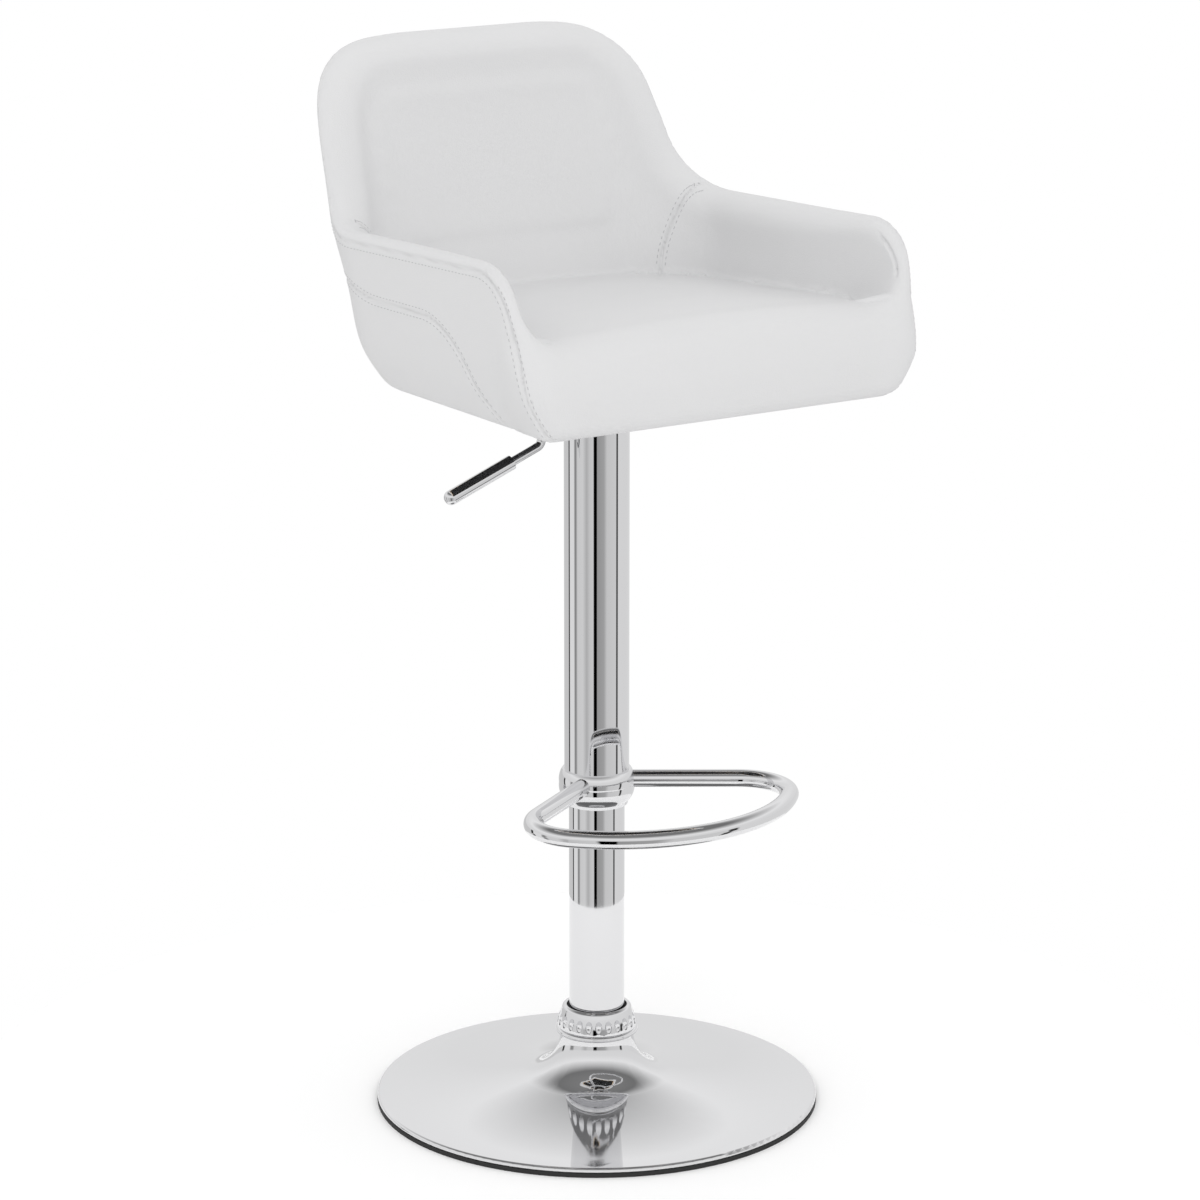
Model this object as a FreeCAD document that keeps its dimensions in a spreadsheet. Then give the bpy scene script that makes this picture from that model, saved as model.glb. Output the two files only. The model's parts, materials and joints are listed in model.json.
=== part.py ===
"""Adjustable swivel stool: a padded bucket seat on a gas column with a footrest and a round foot.

Millimetres. +Z is up, the origin is on the column's axis at the floor, and the seat faces -Y.
The column is drawn fully raised: the upper sleeve can drop by lift_travel from here.
"""
import FreeCAD, Part
import math
import os
import re
import sys
import Sketcher

doc = FreeCAD.newDocument("swivel_stool")

# ---------------------------------------------------------------- driving dimensions
SIZES = {
    # foot
    "base_radius": 200.0,
    "rubber_height": 4.0,
    "rubber_width": 12.0,
    "rim_height": 8.4,
    "rim_roll": 2.8,
    "rim_edge": 1.6,
    "dish_wall": 1.8,
    "dish_wall_at_rim": 3.6,
    "dish_curve": 760.0,
    "knee_radius": 69.0,
    "knee_height": 23.0,
    "neck_radius": 33.0,
    "neck_height": 63.0,
    "neck_curve": 41.0,
    "plate_radius": 165.0,
    "plate_bore": 12.0,
    "plate_bottom": 3.0,
    "plate_thickness": 4.0,
    "flange_radius": 43.0,
    "flange_thickness": 5.0,
    "flange_bolt_circle": 34.0,
    "flange_bolt_count": 3.0,
    "flange_bolt_radius": 4.0,
    "flange_nut_half": 7.5,
    "flange_nut_height": 6.5,
    # trim ring round the column's foot
    "trim_top": 89.0,
    "bead_radius": 37.4,
    "bead_height": 5.4,
    "trim_low_radius": 35.8,
    "trim_high_radius": 31.6,
    "trim_mouth_radius": 27.0,
    "trim_lip": 5.0,
    "scallops": 24.0,
    "scallop_half_width": 3.1,
    "scallop_depth": 2.2,
    # column
    "tube_radius": 25.0,
    "tube_wall": 2.0,
    "tube_top": 414.0,
    "foot_disc_bottom": 24.0,
    "foot_disc_thickness": 6.0,
    "rod_radius": 5.0,
    "rod_bottom": 18.0,
    "running_gap": 0.06,
    "clip_thickness": 1.4,
    "washer_thickness": 1.5,
    "end_play": 0.7,
    "bearing_radius": 15.0,
    "race_thickness": 2.5,
    "ball_radius": 2.5,
    "ball_circle": 10.0,
    "balls": 8.0,
    "cage_low": 1.4,
    "cage_height": 2.2,
    "rod_collar": 4.0,
    "buffer_top": 60.0,
    "bush_bottom": 354.0,
    # gas spring
    "pressure_radius": 14.0,
    "pressure_wall": 1.5,
    "pressure_bottom": 250.0,
    "guide_start": 2.0,
    "guide_end": 18.0,
    "piston_start": 22.0,
    "piston_length": 15.0,
    "piston_neck": 3.8,
    "seal_start": 5.0,
    "seal_height": 4.0,
    "seal_depth": 2.0,
    "cap_thickness": 8.0,
    "valve_length": 20.0,
    "taper_bottom": 606.0,
    "taper_top_radius": 13.2,
    "pressure_top": 636.0,
    "pin_radius": 3.0,
    "pin_top": 641.7,
    "pin_length": 35.7,
    "lift_travel": 185.0,
    # sleeve, collar and footrest
    "sleeve_radius": 29.0,
    "sleeve_wall": 1.5,
    "sleeve_bottom": 285.0,
    "sleeve_top": 631.0,
    "sleeve_bush_height": 22.0,
    "top_ring_height": 12.0,
    "top_ring_bore": 20.0,
    "collar_bottom": 280.0,
    "collar_top": 312.0,
    "collar_bulge": 33.8,
    "collar_mid": 299.0,
    "collar_curve": 18.0,
    "collar_screw": 2.5,
    "footrest_height": 302.0,
    "footrest_tube": 8.0,
    "footrest_wall": 1.5,
    "footrest_side_x": 82.0,
    "footrest_side_y": 106.0,
    "footrest_side_curve": 44.5,
    "footrest_front_curve": 155.5,
    # seat plate and release lever
    "pan_bottom": 631.5,
    "pan_half": 52.0,
    "plate_top": 664.0,
    "plate_half": 80.0,
    "sheet": 3.0,
    "socket_radius": 19.0,
    "bolt_spacing": 66.0,
    "bolt_radius": 3.0,
    "bolt_hole": 3.3,
    "bolt_head": 5.2,
    "bolt_head_height": 3.6,
    "bolt_length": 20.0,
    "seat_washer": 1.5,
    "tee_barrel": 4.2,
    "tee_disc": 9.0,
    "tee_thickness": 1.5,
    "cheek_gap": 4.6,
    "cheek_thickness": 2.0,
    "pivot_pin": 2.0,
    "pivot_bore": 2.06,
    "lever_radius": 4.0,
    "lever_height": 646.0,
    "lever_pivot": 40.0,
    "lever_bend_x": 57.5,
    "lever_drop": 615.0,
    "lever_fall": 21.0,
    "lever_curve": 7.0,
    "lever_nose": 4.0,
    "grip_socket": 20.0,
    "grip_start": 33.0,
    "grip_length": 72.0,
    "grip_radius": 6.6,
    # seat
    "seat_floor": 665.0,
    "frame_inset": 14.0,
    "floor_thickness": 8.0,
    "board_thickness": 10.0,
    "board_gap": 0.3,
    "board_half": 138.0,
    "board_front": 176.0,
    "board_back": 78.0,
    "board_corner": 44.0,
    "dust_gap": 0.1,
    "cushion_top": 738.0,
    "arm_top": 806.0,
    "back_top": 954.0,
    "pad": 36.0,
}

sheet = doc.addObject("Spreadsheet::Sheet", "sizes")
for row, (alias, number) in enumerate(SIZES.items(), start=1):
    sheet.set("A%d" % row, alias)
    sheet.set("B%d" % row, repr(number))
    sheet.setAlias("B%d" % row, alias)
doc.recompute()

NODES = []


# ---------------------------------------------------------------- helpers
def bound(text):
    """The expression with each sheet alias written as sizes.alias."""
    return re.sub(r"[a-z_]+", lambda m: ("sizes." if m.group() in SIZES else "") + m.group(), str(text))


def value(text):
    """What an expression comes to now."""
    return float(sheet.evalExpression(bound(text)))


def new_body(name):
    body = doc.addObject("PartDesign::Body", name)
    body.Label = name
    NODES.append(body)
    return body


def origin_plane(body, role):
    return next(f for f in body.Origin.OriginFeatures if f.Role == role)


def new_sketch(body, name, role, height="0"):
    """A sketch on one of the body's own planes, lifted along its normal by height."""
    sketch = body.newObject("Sketcher::SketchObject", name)
    sketch.AttachmentSupport = [(origin_plane(body, role), "")]
    sketch.MapMode = "FlatFace"
    if height != "0":
        sketch.setExpression("AttachmentOffset.Base.z", bound(height))
        sketch.AttachmentOffset.Base.z = value(height)
    return sketch


def arc_edge(start, end, radius, side):
    """An arc from start to end whose centre lies to the left (side 1) or right (-1) of the chord."""
    half = (end - start) * 0.5
    reach = math.sqrt(max(radius ** 2 - half.Length ** 2, 0.0))
    normal = FreeCAD.Vector(-half.y, half.x, 0).normalize()
    centre = start + half + normal * reach * side
    middle = centre - normal * radius * side
    # a sketch's arcs run anticlockwise
    return Part.Arc(start, middle, end) if side > 0 else Part.Arc(end, middle, start)


def tie(sketch, kind, *where_and_text):
    """A constraint whose size follows an expression, the last argument."""
    *where, text = where_and_text
    number = sketch.addConstraint(Sketcher.Constraint(kind, *where, value(text)))
    sketch.setExpression("Constraints[%d]" % number, bound(text))


def close_outline(sketch, points, arcs=None):
    """A closed outline through points, pairs of expressions. arcs: edge number to (radius, side)."""
    arcs = arcs or {}
    places = [FreeCAD.Vector(value(x), value(y), 0) for x, y in points]
    first = sketch.GeometryCount
    count = len(points)
    for i in range(count):
        start = places[i]
        end = places[(i + 1) % count]
        if i in arcs:
            radius, side = arcs[i]
            sketch.addGeometry(arc_edge(start, end, value(radius), side))
        else:
            sketch.addGeometry(Part.LineSegment(start, end))
    starts = {}
    for i in range(count):
        edge = sketch.Geometry[first + i]
        # an arc with its centre on the right is stored the other way round
        forward = edge.StartPoint.distanceToPoint(places[i]) < 1e-6
        starts[i] = (1, 2) if forward else (2, 1)
    for i in range(count):
        following = (i + 1) % count
        sketch.addConstraint(Sketcher.Constraint(
            "Coincident", first + i, starts[i][1], first + following, starts[following][0]))
    for i, (x, y) in enumerate(points):
        tie(sketch, "DistanceX", -1, 1, first + i, starts[i][0], x)
        tie(sketch, "DistanceY", -1, 1, first + i, starts[i][0], y)
    for i, (radius, _) in arcs.items():
        tie(sketch, "Radius", first + i, radius)
    return sketch


def close_circle(sketch, x, y, radius):
    centre = FreeCAD.Vector(value(x), value(y), 0)
    edge = sketch.addGeometry(Part.Circle(centre, FreeCAD.Vector(0, 0, 1), value(radius)))
    tie(sketch, "DistanceX", -1, 1, edge, 3, x)
    tie(sketch, "DistanceY", -1, 1, edge, 3, y)
    tie(sketch, "Radius", edge, radius)
    return sketch


def rounded_outline(sketch, half_width, front, back, front_curve, back_curve):
    """A rounded oblong about the column: sides at +-half_width, from y = -front to y = back."""
    w, f, b, rf, rb = ("(%s)" % t for t in (half_width, front, back, front_curve, back_curve))
    points = [
        ("-%s + %s" % (w, rf), "-%s" % f), ("%s - %s" % (w, rf), "-%s" % f),
        (w, "-%s + %s" % (f, rf)), (w, "%s - %s" % (b, rb)),
        ("%s - %s" % (w, rb), b), ("-%s + %s" % (w, rb), b),
        ("-%s" % w, "%s - %s" % (b, rb)), ("-%s" % w, "-%s + %s" % (f, rf)),
    ]
    return close_outline(sketch, points, {1: (rf, 1), 3: (rb, 1), 5: (rb, 1), 7: (rf, 1)})


def revolve(body, name, points, arcs=None, cut=False):
    """Turn an outline of (radius, height) pairs about the body's Z axis, as material or as a cut."""
    sketch = close_outline(new_sketch(body, name + "_profile", "XZ_Plane"), points, arcs)
    kind = "PartDesign::Groove" if cut else "PartDesign::Revolution"
    turn = body.newObject(kind, name)
    turn.Profile = sketch
    turn.ReferenceAxis = (sketch, ["V_Axis"])
    turn.Angle = 360
    return turn


def turned(name, points, arcs=None):
    body = new_body(name)
    revolve(body, name + "_turn", points, arcs)
    return body


def ring(name, inner, outer, bottom, top):
    return turned(name, [(inner, bottom), (outer, bottom), (outer, top), (inner, top)])


def pad(body, name, sketch, length, cut=False, down=False):
    kind = "PartDesign::Pocket" if cut else "PartDesign::Pad"
    feature = body.newObject(kind, name)
    feature.Profile = sketch
    feature.Reversed = down
    feature.Length = value(length)
    feature.setExpression("Length", bound(length))
    return feature


def around(body, feature, count):
    """Repeat a feature round the Z axis."""
    pattern = body.newObject("PartDesign::PolarPattern", feature.Name + "_ring")
    pattern.Originals = [feature]
    pattern.Axis = (origin_plane(body, "Z_Axis"), [""])
    pattern.Angle = 360
    pattern.Occurrences = int(value(count))
    pattern.setExpression("Occurrences", bound(count))
    body.Tip = pattern
    return pattern


def loft(body, name, sections, cut=False):
    """A smooth loft through rounded outlines.

    Each row is height, half width, front, back, front curve and back curve.
    """
    sketches = []
    for i, (height, *outline) in enumerate(sections):
        sketch = new_sketch(body, "%s_section_%d" % (name, i), "XY_Plane", height)
        sketches.append(rounded_outline(sketch, *outline))
    kind = "PartDesign::SubtractiveLoft" if cut else "PartDesign::AdditiveLoft"
    feature = body.newObject(kind, name)
    feature.Profile = sketches[0]
    feature.Sections = sketches[1:]
    feature.Ruled = False
    return feature


def cut_through(body, name, role, points, arcs=None):
    """Cut an outline right through the body, both ways from the plane it is drawn on."""
    sketch = close_outline(new_sketch(body, name + "_outline", role), points, arcs)
    feature = body.newObject("PartDesign::Pocket", name)
    feature.Profile = sketch
    feature.Midplane = True
    feature.Type = "Length"
    feature.setExpression("Length", "2 * " + bound("back_top"))
    return feature


def side_solid(body, kind, name, sizes, x, z):
    """A ready-made solid beside the axis: at distance x, at height z."""
    solid = body.newObject("PartDesign::" + kind, name)
    solid.AttachmentSupport = [(origin_plane(body, "XY_Plane"), "")]
    solid.MapMode = "FlatFace"
    for prop, text in sizes.items():
        solid.setExpression(prop, bound(text))
    solid.setExpression("AttachmentOffset.Base.x", bound(x))
    solid.setExpression("AttachmentOffset.Base.z", bound(z))
    return solid


def hexagon(sketch, x, half_flats):
    """A hexagon centred at distance x on the X axis, with its flats half_flats from its centre."""
    points = []
    for k in range(6):
        turn = 60 * k + 30
        points.append(("%s + %s / cos(30) * cos(%d)" % (x, half_flats, turn),
                       "%s / cos(30) * sin(%d)" % (half_flats, turn)))
    return close_outline(sketch, points)


def four_circles(sketch, spacing, radius):
    for sx in (-1, 1):
        for sy in (-1, 1):
            close_circle(sketch, "%d * %s" % (sx, spacing), "%d * %s" % (sy, spacing), radius)
    return sketch


def add_feature(name, shape):
    feature = doc.addObject("Part::Feature", name)
    feature.Shape = shape
    feature.Placement = FreeCAD.Placement()
    feature.Label = name
    NODES.append(feature)
    return feature


# ---------------------------------------------------------------- foot
FLANGE_BOTTOM = "plate_bottom + plate_thickness"
FLANGE_TOP = FLANGE_BOTTOM + " + flange_thickness"


def make_foot():
    turned("floor_ring", [
        ("base_radius - rubber_width", "0"), ("base_radius", "0"), ("base_radius", "rubber_height"),
        ("base_radius - 4", "rubber_height"), ("base_radius - 4", "rubber_height + rim_edge"),
        ("base_radius - 7", "rubber_height + rim_edge"), ("base_radius - rubber_width", "rubber_height - 1"),
    ])

    # the spun dish: rolled rim, long shallow slope, then a tight flare up into the neck
    turned("base_dish", [
        ("base_radius - dish_wall_at_rim", "rubber_height"), ("base_radius - rim_edge", "rubber_height"),
        ("base_radius", "rubber_height + rim_edge"), ("base_radius", "rim_height - 2.2"),
        ("base_radius - 2.6", "rim_height"), ("knee_radius", "knee_height"),
        ("neck_radius", "neck_height"), ("neck_radius - dish_wall", "neck_height"),
        ("knee_radius - dish_wall * 0.4", "knee_height - dish_wall"),
        ("base_radius - dish_wall_at_rim", "rim_height - dish_wall"),
    ], {1: ("rim_edge", 1), 3: ("rim_roll", 1), 4: ("dish_curve", -1), 5: ("neck_curve", -1),
        7: ("neck_curve", 1), 8: ("dish_curve", 1)})

    plate = new_body("ballast_plate")
    revolve(plate, "ballast_disc", [
        ("plate_bore", "plate_bottom"), ("plate_radius", "plate_bottom"),
        ("plate_radius", FLANGE_BOTTOM), ("plate_bore", FLANGE_BOTTOM)])
    countersink = side_solid(plate, "SubtractiveCone", "countersink", {
        "Radius1": "flange_bolt_radius * 2 + 0.1", "Radius2": "flange_bolt_radius + 0.1",
        "Height": "plate_thickness"}, "flange_bolt_circle", "plate_bottom")
    around(plate, countersink, "flange_bolt_count")

    flange = new_body("column_flange")
    revolve(flange, "flange_disc", [
        ("plate_bore", FLANGE_BOTTOM), ("flange_radius", FLANGE_BOTTOM), ("flange_radius", FLANGE_TOP),
        ("plate_bore", FLANGE_TOP)])
    hole = close_circle(new_sketch(flange, "flange_hole", "XY_Plane", FLANGE_TOP),
                        "flange_bolt_circle", "0", "flange_bolt_radius + 0.1")
    bolt_hole = pad(flange, "flange_bolt_hole", hole, "flange_thickness", cut=True)
    around(flange, bolt_hole, "flange_bolt_count")

    bolts = new_body("flange_bolts")
    head = side_solid(bolts, "AdditiveCone", "bolt_head", {
        "Radius1": "flange_bolt_radius * 2", "Radius2": "flange_bolt_radius",
        "Height": "plate_thickness"}, "flange_bolt_circle", "plate_bottom")
    around(bolts, head, "flange_bolt_count")
    shank = close_circle(new_sketch(bolts, "shank_outline", "XY_Plane", FLANGE_BOTTOM),
                         "flange_bolt_circle", "0", "flange_bolt_radius")
    bolt_shank = pad(bolts, "bolt_shank", shank, "flange_thickness + flange_nut_height + 2.5")
    around(bolts, bolt_shank, "flange_bolt_count")

    nuts = new_body("flange_nuts")
    outline = hexagon(new_sketch(nuts, "nut_outline", "XY_Plane", FLANGE_TOP),
                      "flange_bolt_circle", "flange_nut_half")
    close_circle(outline, "flange_bolt_circle", "0", "flange_bolt_radius")
    around(nuts, pad(nuts, "nut", outline, "flange_nut_height"), "flange_bolt_count")


def make_trim():
    """A bead at the bottom, a scalloped skirt that tapers upwards, and a rounded mouth over a rubber seal."""
    lip = "trim_top - trim_lip"
    bead_top = "neck_height + bead_height"
    bead_core = "bead_radius - bead_height / 2"
    body = new_body("trim_ring")
    revolve(body, "trim_turn", [
        ("tube_radius + 0.1", "neck_height"), (bead_core, "neck_height"), (bead_core, bead_top),
        ("trim_low_radius", bead_top + " + 0.6"), ("trim_high_radius", "trim_top - 3"),
        ("trim_mouth_radius + 1.6", "trim_top"), ("trim_mouth_radius", "trim_top - 1.2"),
        ("trim_mouth_radius", lip), ("tube_radius + 0.1", lip),
    ], {1: ("bead_height / 2 + 0.001", 1), 3: ("60", 1), 4: ("4.2", 1), 5: ("1.4", 1)})
    doc.recompute()
    dimple = side_solid(body, "SubtractiveEllipsoid", "scallop", {
        "Radius1": "(trim_top - neck_height) * 0.27", "Radius2": "scallop_depth",
        "Radius3": "scallop_half_width"},
        "(trim_low_radius + trim_high_radius) / 2 + 0.9", "(%s + trim_top) / 2 - 1.2" % bead_top)
    dimple.Angle1 = -90
    dimple.Angle2 = 90
    dimple.Angle3 = 360
    around(body, dimple, "scallops")
    ring("trim_seal", "tube_radius + 0.05", "trim_mouth_radius", lip, lip + " + 2.4")


# ---------------------------------------------------------------- column
RACE_LOW = "foot_disc_bottom + foot_disc_thickness"
RACE_MID = RACE_LOW + " + race_thickness"
RACE_HIGH = RACE_MID + " + ball_radius * 2"
RACE_TOP = RACE_HIGH + " + race_thickness"


def make_column():
    tube_in = "tube_radius - tube_wall"
    bush_in = "pressure_radius + running_gap"
    bush_rim = "tube_radius - 0.3"
    ring("column_tube", tube_in, "tube_radius", FLANGE_TOP, "tube_top")
    ring("column_foot_disc", "rod_radius + running_gap", tube_in, "foot_disc_bottom", RACE_LOW)
    turned("guide_bush", [
        (bush_in, "bush_bottom"), (tube_in, "bush_bottom"), (tube_in, "tube_top"), (bush_rim, "tube_top"),
        (bush_rim, "tube_top + 2"), ("pressure_radius + 1.5", "tube_top + 2"), (bush_in, "tube_top + 0.5"),
    ])


def make_bearing():
    ring("lower_race", "rod_radius + running_gap", "bearing_radius", RACE_LOW, RACE_MID)
    ring("upper_race", "rod_radius", "bearing_radius", RACE_HIGH, RACE_TOP)

    balls = new_body("bearing_balls")
    ball = side_solid(balls, "AdditiveSphere", "ball", {"Radius": "ball_radius"},
                      "ball_circle", RACE_MID + " + ball_radius")
    around(balls, ball, "balls")

    cage_bottom = RACE_MID + " + cage_low"
    cage_top = cage_bottom + " + cage_height"
    cage = new_body("ball_cage")
    revolve(cage, "cage_ring", [
        ("rod_radius + 1", cage_bottom), ("bearing_radius - 1", cage_bottom),
        ("bearing_radius - 1", cage_top), ("rod_radius + 1", cage_top)])
    pocket = close_circle(new_sketch(cage, "cage_hole", "XY_Plane", cage_top),
                          "ball_circle", "0", "ball_radius + 0.05")
    around(cage, pad(cage, "ball_pocket", pocket, "cage_height", cut=True), "balls")


# ---------------------------------------------------------------- gas spring
def make_gas_spring():
    """The rod stands on the bearing; the pressure tube slides on it and carries the seat."""
    inside = "pressure_radius - pressure_wall"
    washer_bottom = "foot_disc_bottom - end_play - washer_thickness"
    clip_bottom = washer_bottom + " - clip_thickness"
    groove = "rod_radius - 1"
    shoulder_top = RACE_TOP + " + rod_collar"
    piston_bottom = "pressure_bottom + piston_start"
    rod_top = piston_bottom + " + piston_length + 5"
    turned("piston_rod", [
        ("0", "rod_bottom"), ("rod_radius", "rod_bottom"), ("rod_radius", clip_bottom),
        (groove, clip_bottom), (groove, washer_bottom), ("rod_radius", washer_bottom),
        ("rod_radius", RACE_TOP), ("rod_radius + 3", RACE_TOP), ("rod_radius + 3", shoulder_top),
        ("rod_radius", shoulder_top), ("rod_radius", piston_bottom),
        ("piston_neck", piston_bottom), ("piston_neck", rod_top), ("0", rod_top)])
    ring("rod_washer", "rod_radius", "rod_radius + 7", washer_bottom, washer_bottom + " + washer_thickness")
    ring("rod_clip", groove, "rod_radius + 4", clip_bottom, washer_bottom)
    ring("drop_buffer", "rod_radius", "rod_radius + 5", shoulder_top, "buffer_top")

    piston_side = inside + " - running_gap"
    piston_top = piston_bottom + " + piston_length"
    seal_in = inside + " - seal_depth"
    seal_bottom = piston_bottom + " + seal_start"
    seal_top = seal_bottom + " + seal_height"
    turned("piston", [
        ("piston_neck", piston_bottom), (piston_side, piston_bottom), (piston_side, seal_bottom),
        (seal_in, seal_bottom), (seal_in, seal_top), (piston_side, seal_top), (piston_side, piston_top),
        ("piston_neck", piston_top)])
    ring("piston_seal", seal_in, inside + " - running_gap / 2", seal_bottom, seal_top)

    pin_bore = "pin_radius + running_gap"
    cap_bottom = "pressure_top - cap_thickness"
    valve_top = "taper_bottom - 12"
    turned("pressure_tube", [
        (inside, "pressure_bottom"), ("pressure_radius", "pressure_bottom"),
        ("pressure_radius", "taper_bottom"), ("taper_top_radius", "pressure_top"),
        (pin_bore, "pressure_top"), (pin_bore, cap_bottom), ("taper_top_radius - 3", cap_bottom),
        (inside, valve_top)])
    ring("valve_body", pin_bore, inside, valve_top + " - valve_length", valve_top)

    guide_bottom = "pressure_bottom + guide_start"
    ring("rod_guide", "rod_radius + running_gap", inside, guide_bottom, "pressure_bottom + guide_end")
    ring("guide_clip", inside + " - 2.5", inside, guide_bottom + " - 1.6", guide_bottom)
    turned("release_pin", [
        ("0", "pin_top - pin_length"), ("pin_radius", "pin_top - pin_length"),
        ("pin_radius", "pin_top - 0.6"), ("pin_radius - 0.6", "pin_top"), ("0", "pin_top")])


# ---------------------------------------------------------------- sleeve and footrest
def make_sleeve():
    sleeve_in = "sleeve_radius - sleeve_wall"
    bush_top = "sleeve_bottom + sleeve_bush_height"
    collar_in = "tube_radius + 0.5"
    ring("outer_sleeve", sleeve_in, "sleeve_radius", "sleeve_bottom", "sleeve_top")
    ring("sleeve_bush", "tube_radius + 0.08", sleeve_in, "sleeve_bottom", bush_top)
    ring("sleeve_top_ring", "top_ring_bore", sleeve_in, "sleeve_top - top_ring_height", "sleeve_top")
    collar = turned("footrest_collar", [
        ("sleeve_radius", "sleeve_bottom"), (collar_in, "sleeve_bottom"), (collar_in, "collar_bottom"),
        ("sleeve_radius - 1.2", "collar_bottom"), ("sleeve_radius - 0.6", "collar_bottom + 3"),
        ("collar_bulge", "collar_mid"), ("sleeve_radius + 2", "collar_top"), ("sleeve_radius", "collar_top"),
    ], {4: ("collar_curve", 1), 5: ("collar_curve", 1)})

    # set screws let into the collar from both sides, bearing on the sleeve
    screws = new_body("collar_screws")
    for number, side in enumerate((-1, 1)):
        for body, cut in ((collar, True), (screws, False)):
            plane = new_sketch(body, "screw_outline_%d" % number, "YZ_Plane", "sleeve_radius * %d" % side)
            outline = close_circle(plane, "0", "collar_mid", "collar_screw")
            length = "collar_bulge - sleeve_radius" + (" + 1" if cut else " - 0.8")
            pad(body, "screw_%d" % number, outline, length, cut=cut, down=(side < 0) != cut)


def make_footrest():
    """One bent tube: two radial legs out of the collar, a tight curve at each side, a wide arc in front."""
    height = value("footrest_height")
    side_curve = value("footrest_side_curve")
    front_curve = value("footrest_front_curve")
    side = FreeCAD.Vector(value("footrest_side_x"), -value("footrest_side_y"), height)
    flat_side = FreeCAD.Vector(side.x, side.y, 0)

    # each leg runs from the axis and touches the side curve
    leg_turn = math.atan2(side.y, side.x) + math.asin(side_curve / flat_side.Length)
    leg_way = FreeCAD.Vector(math.cos(leg_turn), math.sin(leg_turn), 0)
    lift = FreeCAD.Vector(0, 0, height)
    start = lift + leg_way * value("collar_bulge - 2.4")
    bend = lift + leg_way * math.sqrt(flat_side.Length ** 2 - side_curve ** 2)

    # the front arc is centred on the middle plane and touches both side curves from outside them
    behind_side = math.sqrt((front_curve - side_curve) ** 2 - side.x ** 2)
    front_centre = FreeCAD.Vector(0, side.y + behind_side, height)
    touch = side + (side - front_centre).normalize() * side_curve
    front = front_centre - FreeCAD.Vector(0, front_curve, 0)
    bulge = side + ((bend + touch) * 0.5 - side).normalize() * side_curve

    def left(point):
        return FreeCAD.Vector(-point.x, point.y, point.z)

    path = Part.Wire([
        Part.makeLine(start, bend),
        Part.Arc(bend, bulge, touch).toShape(),
        Part.Arc(touch, front, left(touch)).toShape(),
        Part.Arc(left(touch), left(bulge), left(bend)).toShape(),
        Part.makeLine(left(bend), left(start)),
    ])
    radius = value("footrest_tube")
    outer = Part.Wire(Part.makeCircle(radius, start, leg_way))
    inner = Part.Wire(Part.makeCircle(radius - value("footrest_wall"), start, leg_way))
    tube = path.makePipeShell([outer], True, True)
    add_feature("footrest_ring", tube.cut(path.makePipeShell([inner], True, True)))


# ---------------------------------------------------------------- seat plate
def make_seat_plate():
    """A pressed steel pan: a flat flange under the seat and a square well that leaves room for the lever."""
    body = new_body("seat_plate")
    depth = "plate_top - pan_bottom"
    well_floor = "pan_bottom + sheet"

    def square(name, height, half, curve):
        return rounded_outline(new_sketch(body, name, "XY_Plane", height), half, half, half, curve, curve)

    pad(body, "flange", square("flange_outline", "plate_top - sheet", "plate_half", "14"), "sheet")
    pad(body, "well", square("well_outline", "pan_bottom", "pan_half", "10"), depth)
    pad(body, "well_hollow", square("hollow_outline", "plate_top", "pan_half - sheet", "7"),
        depth + " - sheet", cut=True)
    hub = close_circle(new_sketch(body, "hub_hole_outline", "XY_Plane", "plate_top"), "0", "0",
                       "socket_radius")
    pad(body, "hub_hole", hub, depth + " + 1", cut=True)
    holes = four_circles(new_sketch(body, "bolt_holes_outline", "XY_Plane", "plate_top"),
                         "bolt_spacing", "bolt_hole")
    pad(body, "bolt_holes", holes, "sheet + 0.5", cut=True)
    slot_bottom = "lever_height - lever_radius - 2"
    slot_top = "lever_height + lever_radius + 3.5"
    slot = close_outline(new_sketch(body, "lever_slot_outline", "YZ_Plane", "-pan_half - 1"), [
        ("-5", slot_bottom), ("5", slot_bottom), ("5", slot_top), ("-5", slot_top)])
    pad(body, "lever_slot", slot, "sheet + 2", cut=True, down=True)

    # the taper of the gas spring seats in this ring, which stands in the pan's hole
    taper = "(pressure_radius - taper_top_radius) / (pressure_top - taper_bottom)"
    socket_top = well_floor + " + 1"
    turned("taper_socket", [
        ("pressure_radius", "taper_bottom"), ("socket_radius", "taper_bottom"), ("socket_radius", socket_top),
        ("pressure_radius - (%s - taper_bottom) * %s" % (socket_top, taper), socket_top)])

    bracket = new_body("lever_bracket")
    for number, side in enumerate((-1, 1)):
        plane = new_sketch(bracket, "cheek_outline_%d" % number, "XZ_Plane", "cheek_gap * %d" % side)
        cheek = close_outline(plane, [
            ("-lever_pivot - 7", well_floor), ("-lever_pivot + 7", well_floor),
            ("-lever_pivot + 5", "lever_height + 5"), ("-lever_pivot - 5", "lever_height + 5")])
        close_circle(cheek, "-lever_pivot", "lever_height", "pivot_bore")
        pad(bracket, "cheek_%d" % number, cheek, "cheek_thickness", down=side < 0)
    pin = new_body("lever_pivot_pin")
    pin_half = "cheek_gap + cheek_thickness + 0.8"
    shaft = close_circle(new_sketch(pin, "pin_outline", "XZ_Plane", pin_half),
                         "-lever_pivot", "lever_height", "pivot_pin")
    pad(pin, "pin_shaft", shaft, "2 * (%s)" % pin_half, down=True)


BOARD_BOTTOM = "seat_floor + floor_thickness"
BOARD_TOP = BOARD_BOTTOM + " + board_thickness"


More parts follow.
